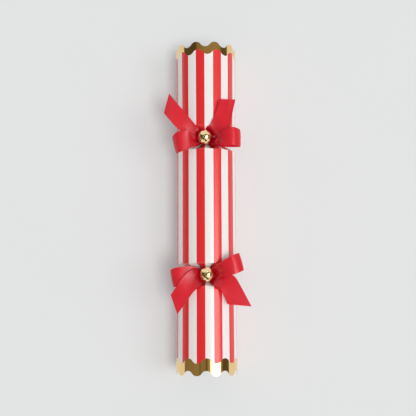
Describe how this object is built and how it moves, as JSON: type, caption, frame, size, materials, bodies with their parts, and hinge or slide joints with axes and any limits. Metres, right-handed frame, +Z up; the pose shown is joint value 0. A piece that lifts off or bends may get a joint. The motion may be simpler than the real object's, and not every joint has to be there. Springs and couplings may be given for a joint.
{
  "type": "christmas cracker",
  "caption": "Striped card cracker choked at two places, with ribbon bows, jingle bells and scalloped foil ends; the ends pull off the barrel with the snap.",
  "frame": {"origin": "middle of the flattened lap seam under the barrel, on the surface that the cracker lies on", "axes": "+Y along the cracker towards the end drawn at the top, +Z up through the bows, +X to the right"},
  "size_m": [0.0799, 0.3048, 0.062],
  "materials": {
    "striped_card": "satin printed card, red and white stripes",
    "plain_card": "matt unprinted card",
    "gold_foil": "mirror gold foil",
    "red_ribbon": "satin woven ribbon",
    "red_cord": "twisted thread",
    "gold_bell": "polished",
    "steel_pellet": "plain",
    "snap_charge": "matt coating",
    "snap_grit": "gritty coating",
    "plain_paper": "matt paper",
    "tissue": "tissue paper",
    "turned_wood": "turned, waxed"
  },
  "bodies": {
    "barrel": {"barrel_wrap": "striped_card", "barrel_liner": "plain_card"},
    "top_end": {"top_barrel_petals": "striped_card", "top_end_petals": "striped_card", "top_end_wrap": "striped_card", "top_foil_band": "gold_foil", "top_end_liner": "plain_card", "top_neck_ribbon": "red_ribbon", "top_knot": "red_ribbon", "top_left_loop": "red_ribbon", "top_right_loop": "red_ribbon", "top_left_tail": "red_ribbon", "top_right_tail": "red_ribbon", "top_bell_cord": "red_cord", "snap_strip_top": "plain_card", "snap_charge_pad": "snap_charge"},
    "top_bell": {"top_bell_cap": "gold_bell", "top_bell_cup": "gold_bell", "top_bell_eye": "gold_bell"},
    "top_pellet": {"top_bell_pellet": "steel_pellet"},
    "bottom_end": {"bottom_barrel_petals": "striped_card", "bottom_end_petals": "striped_card", "bottom_end_wrap": "striped_card", "bottom_foil_band": "gold_foil", "bottom_end_liner": "plain_card", "bottom_neck_ribbon": "red_ribbon", "bottom_knot": "red_ribbon", "bottom_left_loop": "red_ribbon", "bottom_right_loop": "red_ribbon", "bottom_left_tail": "red_ribbon", "bottom_right_tail": "red_ribbon", "bottom_bell_cord": "red_cord", "snap_strip_bottom": "plain_card", "snap_grit_pad": "snap_grit", "snap_sleeve": "plain_paper"},
    "bottom_bell": {"bottom_bell_cap": "gold_bell", "bottom_bell_cup": "gold_bell", "bottom_bell_eye": "gold_bell"},
    "bottom_pellet": {"bottom_bell_pellet": "steel_pellet"},
    "hat": {"paper_hat": "tissue"},
    "motto": {"motto_slip": "plain_paper"},
    "spinner": {"spinner_disc": "turned_wood", "spinner_spindle": "turned_wood"}
  },
  "joints": [
    {"name": "top_pull", "type": "slide", "parent": "barrel", "child": "top_end", "axis": [0, 1, 0], "range_m": [0, 0.09]},
    {"name": "top_bell_rock", "type": "hinge", "parent": "top_end", "child": "top_bell", "pos_m": [-0.001, 0.0626, 0.04745], "axis": [1, 0, 0], "range_deg": [-8, 8]},
    {"name": "top_pellet_rattle", "type": "slide", "parent": "top_bell", "child": "top_pellet", "axis": [0, 0, 1], "range_m": [0, 0.0078]},
    {"name": "bottom_pull", "type": "slide", "parent": "barrel", "child": "bottom_end", "axis": [0, -1, 0], "range_m": [0, 0.09]},
    {"name": "bottom_bell_rock", "type": "hinge", "parent": "bottom_end", "child": "bottom_bell", "pos_m": [0.0003, -0.0626, 0.04745], "axis": [1, 0, 0], "range_deg": [-8, 8]},
    {"name": "bottom_pellet_rattle", "type": "slide", "parent": "bottom_bell", "child": "bottom_pellet", "axis": [0, 0, 1], "range_m": [0, 0.0078]},
    {"name": "hat_slip", "type": "slide", "parent": "barrel", "child": "hat", "axis": [0, 1, 0], "range_m": [-0.003, 0.003]},
    {"name": "motto_slip", "type": "slide", "parent": "barrel", "child": "motto", "axis": [0, 1, 0], "range_m": [-0.015, 0.015]},
    {"name": "spinner_slip", "type": "slide", "parent": "barrel", "child": "spinner", "axis": [0, 1, 0], "range_m": [-0.003, 0.003]}
  ]
}
